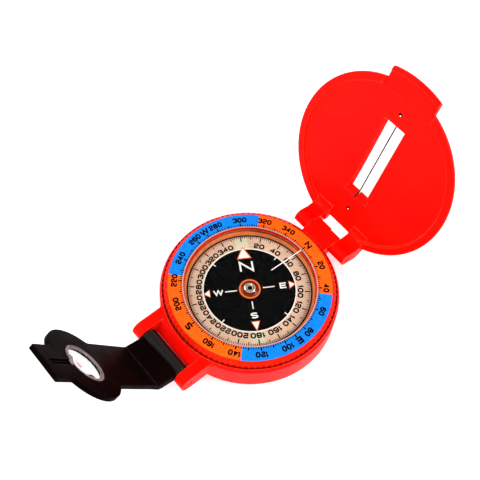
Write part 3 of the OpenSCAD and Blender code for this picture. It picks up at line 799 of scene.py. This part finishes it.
bend = 0.4
WIRE_END = -6.7  # the ends stop here, in the beads
path = [(0, WIRE_V[0], WIRE_END), (0, WIRE_V[0], WIRE_N + bend)]
path += [(0, y, z) for y, z in arc(WIRE_V[0] + bend, WIRE_N + bend, bend, 180, 270, 5)[1:]]
path += [(0, v, WIRE_N) for v in (16, 22, 29, 36, 42)]
path += [(0, y, z) for y, z in arc(WIRE_V[1] - bend, WIRE_N + bend, bend, 270, 360, 5)]
path += [(0, WIRE_V[1], WIRE_END)]
pts, faces = tube(path, WIRE_R)
add("sight_wire_bent", pts, faces, wire_black, "lid", AT_LID, ("sight_wire",), angle=60)
# the kink at the slot's lower end
tail = [(0, 14.6, WIRE_END), (0, 14.75, -6.42), (0, 15.0, -6.55), (0, 15.9, -7.3), (0, 16.5, -7.68),
        (0, 17.2, WIRE_N)]
pts, faces = tube(tail, WIRE_R)
add("sight_wire_tail", pts, faces, wire_black, "lid", AT_LID, angle=60)

# the beads are black as painted shade: they stand for the dark recess of the wire holes
prof = [(0, -6.69), (0.42, -6.69), (0.42, -6.36), (0.6, -6.36), (0.66, -6.24), (0.56, -6.14), (0.4, -6.1),
        (0, -6.1)]
bead = raw_mesh(*lathe(prof, 40))
joined("wire_beads_painted_shade", [(bead, Matrix.Translation((0, v, 0))) for v in WIRE_V], ink, "lid", AT_LID,
       ("wire_anchors",))
prof = [(0, -6.3), (0.24, -6.3), (0.3, -6.1), (0.26, -5.98), (0.14, -5.9), (0, -5.88)]
crimp = raw_mesh(*lathe(prof, 32))
joined("wire_crimps", [(crimp, Matrix.Translation((0.22, v - 0.1, 0))) for v in WIRE_V], bead_metal, "lid",
       AT_LID)

# ---------------------------------------------------------------- lens arm

BEND_Y, STOW_Z, PLATE_T = -25.1, 12.3, 1.5
LENS_Y, EYE_R, NECK, TAB, ARM_LEN = BEND_Y + 30.2, 11.7, 7.5, 5.5, 47.6


def eye_outline():
    """The lens plate: neck, fillets, round part and tab, from the right side of the bend anticlockwise."""
    right = [(NECK, BEND_Y - 0.2)]
    f = 2.2
    back = math.sqrt((EYE_R + f) ** 2 - (NECK + f) ** 2)
    a1 = math.degrees(math.atan2(-back, NECK + f))
    right += arc(NECK + f, LENS_Y - back, f, 180, a1 + 180, 8)
    g = 0.9
    out = math.sqrt((EYE_R + g) ** 2 - (TAB + g) ** 2)
    a2 = math.degrees(math.atan2(out, TAB + g))
    right += arc(0, LENS_Y, EYE_R, a1, a2, 48)[1:]
    right += arc(TAB + g, LENS_Y + out, g, a2 + 180, 180, 6)[1:]
    right += [(TAB, BEND_Y + ARM_LEN - 0.3), (TAB - 0.3, BEND_Y + ARM_LEN)]
    return right + [(-x, y) for x, y in reversed(right)]


hole = arc(0, LENS_Y, 5.6, 0, 360, 72)[:-1]
plate = slab([eye_outline(), hole], STOW_Z, STOW_Z + PLATE_T, 0.2)
groove = slab([[(-1, BEND_Y + 36), (1, BEND_Y + 36), (1, BEND_Y + 45.9), (-1, BEND_Y + 45.9)]],
              STOW_Z - 1, STOW_Z + 1.05, 0.05, 1)
seat = raw_mesh(*lathe([(0, STOW_Z - 1), (6.2, STOW_Z - 1), (6.2, STOW_Z + 0.44), (0, STOW_Z + 0.44)], 96))
seat.transform(Matrix.Translation((0, LENS_Y, 0)))
plate = carve(plate, [groove, seat])
LINK_N = 3.0 * math.sqrt(2)
LINK_HALF = 7.65
TOP_Z = STOW_Z + PLATE_T
link = [(BEND_Y, STOW_Z), (BEND_Y + 1.0, STOW_Z), (BEND_Y + 1.0, TOP_Z - 0.05),
        (BEND_Y - LINK_N + PLATE_T + 0.5, TOP_Z - 0.05), (BEND_Y - LINK_N + PLATE_T - 0.6, TOP_Z - 0.55),
        (ARM_PIN[0] - 1.4, ARM_PIN[1] + 1.2), (ARM_PIN[0] - 1.4, ARM_PIN[1] - 0.6),
        (ARM_PIN[0] + 0.4, ARM_PIN[1] - 1.6)]
link_bar = slab([link], -LINK_HALF, LINK_HALF, 0.25)
# the barrel goes round the pin at the link's end
barrel_prof = [(0.86, -7.75), (2.2, -7.75), (2.45, -7.5), (2.45, 7.5), (2.2, 7.75), (0.86, 7.75)]
barrel = raw_mesh(*lathe(barrel_prof, 72))
joined("lens_arm_moulded", [(plate, STILL), (link_bar, SIDE)], black, "arm", AT_ARM,
       ("lens_arm",))
joined("lens_arm_barrel", [(barrel, Matrix.Translation((0, *ARM_PIN)) @ ALONG_X)], glossy_black, "arm",
       AT_ARM)

# each face of the lens is a dome of height SAG; MID is the height of its middle
LENS_R, SAG, MID = 5.58, 0.55, STOW_Z + 0.95
AT_LENS = AT_ARM @ Matrix.Translation((0, LENS_Y, 0))
DOME = (LENS_R ** 2 + SAG ** 2) / (2 * SAG)
half = math.degrees(math.asin(LENS_R / DOME))
prof = arc(0, MID + 0.25 + SAG - DOME, DOME, 90 - half, 90, 14)
prof += arc(0, MID + 0.1 - SAG + DOME, DOME, 270, 270 + half, 14)
pts, faces = lathe(prof, 120)
add("lens_polished", pts, faces, lens_glass, "arm", AT_LENS, ("lens",))
prof = [(5.15, STOW_Z + 0.2), (5.25, STOW_Z + 0.08), (5.6, STOW_Z + 0.02), (5.75, STOW_Z + 0.1),
        (5.9, STOW_Z + 0.02), (6.08, STOW_Z + 0.02), (6.17, STOW_Z + 0.12), (6.17, STOW_Z + 0.43),
        (5.15, STOW_Z + 0.43)]
pts, faces = lathe(prof, 120)
add("lens_ring", pts, faces, smoky, "arm", AT_LENS, ("lens_retainer",))

# ---------------------------------------------------------------- stage

FLOOR_HALF, FLOOR_Z = 6, -0.00004  # metres; just under the base, so the two faces don't meet
corners = [(-1, -1), (1, -1), (1, 1), (-1, 1)]
floor_mesh = bpy.data.meshes.new("floor")
floor_mesh.from_pydata([(x * FLOOR_HALF, y * FLOOR_HALF, FLOOR_Z) for x, y in corners], [], [(0, 1, 2, 3)])
floor = bpy.data.objects.new("floor", floor_mesh)
bpy.context.scene.collection.objects.link(floor)
paper = printed("floor_paper", (0.72, 0.72, 0.72), (0.70, 0.70, 0.70), roughness=0.8, specular=0.0)
paper_shader = paper.node_tree.nodes["Principled BSDF"]
paper_shader.inputs["Emission Color"].default_value = (1, 1, 1, 1)
paper_shader.inputs["Emission Strength"].default_value = 0.42
floor_mesh.materials.append(paper)

world = bpy.data.worlds.new("studio")
bpy.context.scene.world = world
world.use_nodes = True
sky = world.node_tree
sky.nodes.clear()
sky_out = node(sky, "ShaderNodeOutputWorld")
sky_light = node(sky, "ShaderNodeBackground")
sky_coords = node(sky, "ShaderNodeTexCoord")
sky_height = node(sky, "ShaderNodeSeparateXYZ")
sky.links.new(sky_coords.outputs["Generated"], sky_height.inputs[0])
sky.links.new(spread(sky, sky_height.outputs["Z"], 1.0, 0.55, 0.2, 0.8), sky_light.inputs["Strength"])
sky_light.inputs["Color"].default_value = (1.0, 1.0, 1.0, 1)
sky.links.new(sky_light.outputs[0], sky_out.inputs[0])


def softbox(name, where, size, watts):
    """A round lamp aimed at the object's foot."""
    light = bpy.data.lights.new(name, "AREA")
    light.shape = "DISK"
    light.size = size
    light.energy = watts
    o = bpy.data.objects.new(name, light)
    bpy.context.scene.collection.objects.link(o)
    o.location = where
    o.rotation_mode = "QUATERNION"
    o.rotation_quaternion = (Vector((0, 0, 0.01)) - Vector(where)).to_track_quat("-Z", "Y")


softbox("key", (0.34, 0.30, 0.42), 0.26, 2.6)
softbox("left", (-0.42, -0.16, 0.34), 0.36, 1.8)
softbox("front", (0.10, -0.48, 0.30), 0.34, 1.6)

# ---------------------------------------------------------------- camera

AZ, EL, ROLL = (math.radians(angle) for angle in (45.19, 58.81, 5.28))
DIST, OFF_X, OFF_Y, AIM_Z = 250.44, 3.06, -13.03, 12  # millimetres
FOCAL, SENSOR = 63.75, 36
b = Vector((math.sin(AZ) * math.cos(EL), -math.cos(AZ) * math.cos(EL), math.sin(EL)))
flat = Vector((math.cos(AZ), math.sin(AZ), 0))
up = b.cross(flat)
r = math.cos(ROLL) * flat + math.sin(ROLL) * up
u = -math.sin(ROLL) * flat + math.cos(ROLL) * up
eye = (DIST * b - OFF_X * r - OFF_Y * u + Vector((0, 0, AIM_Z))) * MM
cam = bpy.data.cameras.new("camera")
cam.sensor_width = SENSOR
cam.lens = FOCAL
cam.clip_start, cam.clip_end = 0.01, 20
cam_obj = bpy.data.objects.new("camera", cam)
bpy.context.scene.collection.objects.link(cam_obj)
cam_obj.matrix_world = Matrix((*((r[i], u[i], b[i], eye[i]) for i in range(3)), (0, 0, 0, 1)))
bpy.context.scene.camera = cam_obj
bpy.context.scene.view_settings.view_transform = "Standard"
bpy.context.scene.view_settings.look = "None"
